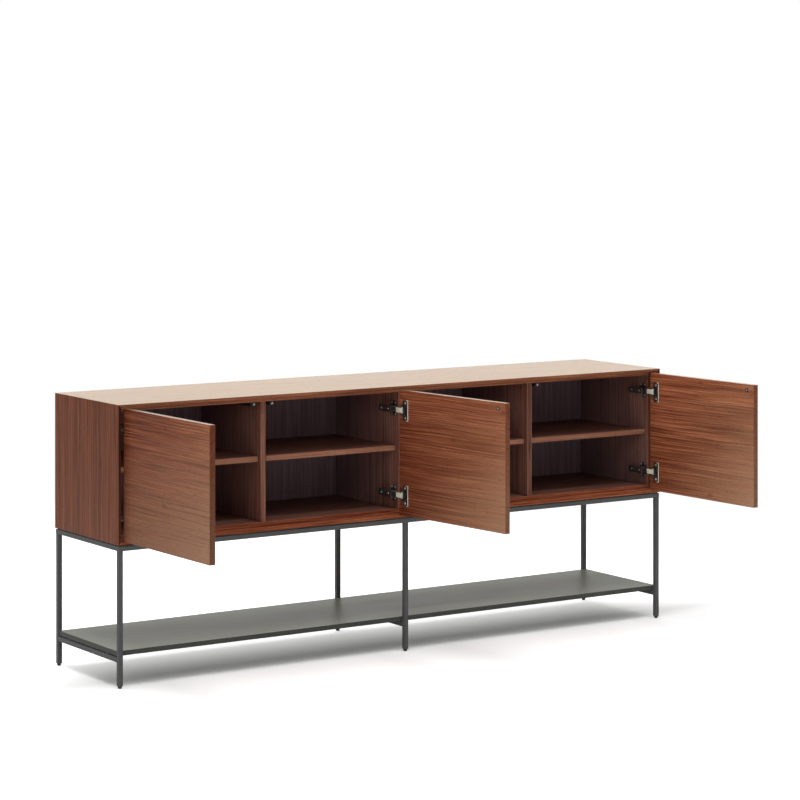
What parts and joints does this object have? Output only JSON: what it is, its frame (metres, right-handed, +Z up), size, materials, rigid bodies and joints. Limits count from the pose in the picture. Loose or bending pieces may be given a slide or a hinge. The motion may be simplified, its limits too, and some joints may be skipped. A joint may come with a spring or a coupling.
{
  "type": "office credenza",
  "caption": "Long low walnut-veneered office credenza with hinged doors, an open bay and inner shelves, standing on a slim square-tube steel base with a lower shelf.",
  "frame": {"origin": "on the floor, under the centre rear leg's foot", "axes": "+X along the credenza to the right as seen from the front, +Y to the back, +Z up"},
  "size_m": [1.95, 0.8786, 0.8],
  "materials": {
    "walnut_veneer": "satin walnut veneer",
    "walnut_inner": "satin walnut veneer",
    "dark_steel": "satin powder coat",
    "grey_lacquer": "satin olive-grey lacquer",
    "nickel": "bright nickel plate",
    "black_plastic": "matte",
    "pale_rubber": "matte"
  },
  "bodies": {
    "carcass": {"top_panel": "walnut_veneer", "bottom_panel": "walnut_veneer", "left_side": "walnut_veneer", "right_side": "walnut_veneer", "back_panel": "walnut_inner", "left_divider": "walnut_inner", "centre_partition": "walnut_inner", "right_divider": "walnut_inner", "bay_1_shelf": "walnut_inner", "bay_2_shelf": "walnut_inner", "bay_3_shelf": "walnut_inner", "bay_4_shelf": "walnut_inner", "front_rail": "dark_steel", "rear_rail": "dark_steel", "front_left_leg": "dark_steel", "front_centre_leg": "dark_steel", "front_right_leg": "dark_steel", "rear_left_leg": "dark_steel", "rear_centre_leg": "dark_steel", "rear_right_leg": "dark_steel", "left_cross_rail": "dark_steel", "centre_cross_rail": "dark_steel", "right_cross_rail": "dark_steel", "left_lower_bar": "dark_steel", "centre_lower_bar": "dark_steel", "right_lower_bar": "dark_steel", "lower_shelf": "grey_lacquer", "left_door_upper_hinge_arm": "nickel", "left_door_lower_hinge_arm": "nickel", "centre_door_upper_hinge_arm": "nickel", "centre_door_lower_hinge_arm": "nickel", "right_door_upper_hinge_arm": "nickel", "right_door_lower_hinge_arm": "nickel", "front_left_glide": "black_plastic", "front_centre_glide": "black_plastic", "front_right_glide": "black_plastic", "rear_left_glide": "black_plastic", "rear_centre_glide": "black_plastic", "rear_right_glide": "black_plastic", "left_door_latch_body": "black_plastic", "centre_door_latch_body": "black_plastic", "right_door_latch_body": "black_plastic"},
    "left_door": {"left_door": "walnut_veneer", "left_door_upper_hinge_cup": "nickel", "left_door_lower_hinge_cup": "nickel"},
    "left_door_links": {"left_door_upper_hinge_link": "nickel", "left_door_lower_hinge_link": "nickel"},
    "left_door_plunger": {"left_door_latch_plunger": "pale_rubber"},
    "centre_door": {"centre_door": "walnut_veneer", "centre_door_upper_hinge_cup": "nickel", "centre_door_lower_hinge_cup": "nickel"},
    "centre_door_links": {"centre_door_upper_hinge_link": "nickel", "centre_door_lower_hinge_link": "nickel"},
    "centre_door_plunger": {"centre_door_latch_plunger": "pale_rubber"},
    "right_door": {"right_door": "walnut_veneer", "right_door_upper_hinge_cup": "nickel", "right_door_lower_hinge_cup": "nickel"},
    "right_door_links": {"right_door_upper_hinge_link": "nickel", "right_door_lower_hinge_link": "nickel"},
    "right_door_plunger": {"right_door_latch_plunger": "pale_rubber"}
  },
  "joints": [
    {"name": "left_door_hinge", "type": "hinge", "parent": "carcass", "child": "left_door", "pos_m": [-0.965, -0.387, 0.602], "axis": [0, 0, -1], "range_deg": [-89.5, 20.5]},
    {"name": "left_door_link_slide", "type": "slide", "parent": "carcass", "child": "left_door_links", "axis": [0, -1, 0], "range_m": [-0.0425, 0.0099]},
    {"name": "left_door_plunger_slide", "type": "slide", "parent": "carcass", "child": "left_door_plunger", "axis": [0, 1, 0], "range_m": [0, 0.006], "stiffness_N_per_m": 300, "springref_m": -0.004},
    {"name": "centre_door_hinge", "type": "hinge", "parent": "carcass", "child": "centre_door", "pos_m": [0.001, -0.387, 0.602], "axis": [0, 0, 1], "range_deg": [-95.5, 14.5]},
    {"name": "centre_door_link_slide", "type": "slide", "parent": "carcass", "child": "centre_door_links", "axis": [0, -1, 0], "range_m": [-0.0453, 0.007]},
    {"name": "centre_door_plunger_slide", "type": "slide", "parent": "carcass", "child": "centre_door_plunger", "axis": [0, 1, 0], "range_m": [0, 0.006], "stiffness_N_per_m": 300, "springref_m": -0.004},
    {"name": "right_door_hinge", "type": "hinge", "parent": "carcass", "child": "right_door", "pos_m": [0.965, -0.387, 0.602], "axis": [0, 0, 1], "range_deg": [-92, 18]},
    {"name": "right_door_link_slide", "type": "slide", "parent": "carcass", "child": "right_door_links", "axis": [0, -1, 0], "range_m": [-0.0436, 0.0087]},
    {"name": "right_door_plunger_slide", "type": "slide", "parent": "carcass", "child": "right_door_plunger", "axis": [0, 1, 0], "range_m": [0, 0.006], "stiffness_N_per_m": 300, "springref_m": -0.004}
  ],
  "couplings": [
    {"joint": "left_door_link_slide", "follows": "left_door_hinge", "m_per_rad": 0.027056},
    {"joint": "centre_door_link_slide", "follows": "centre_door_hinge", "m_per_rad": 0.027056},
    {"joint": "right_door_link_slide", "follows": "right_door_hinge", "m_per_rad": 0.027056}
  ]
}
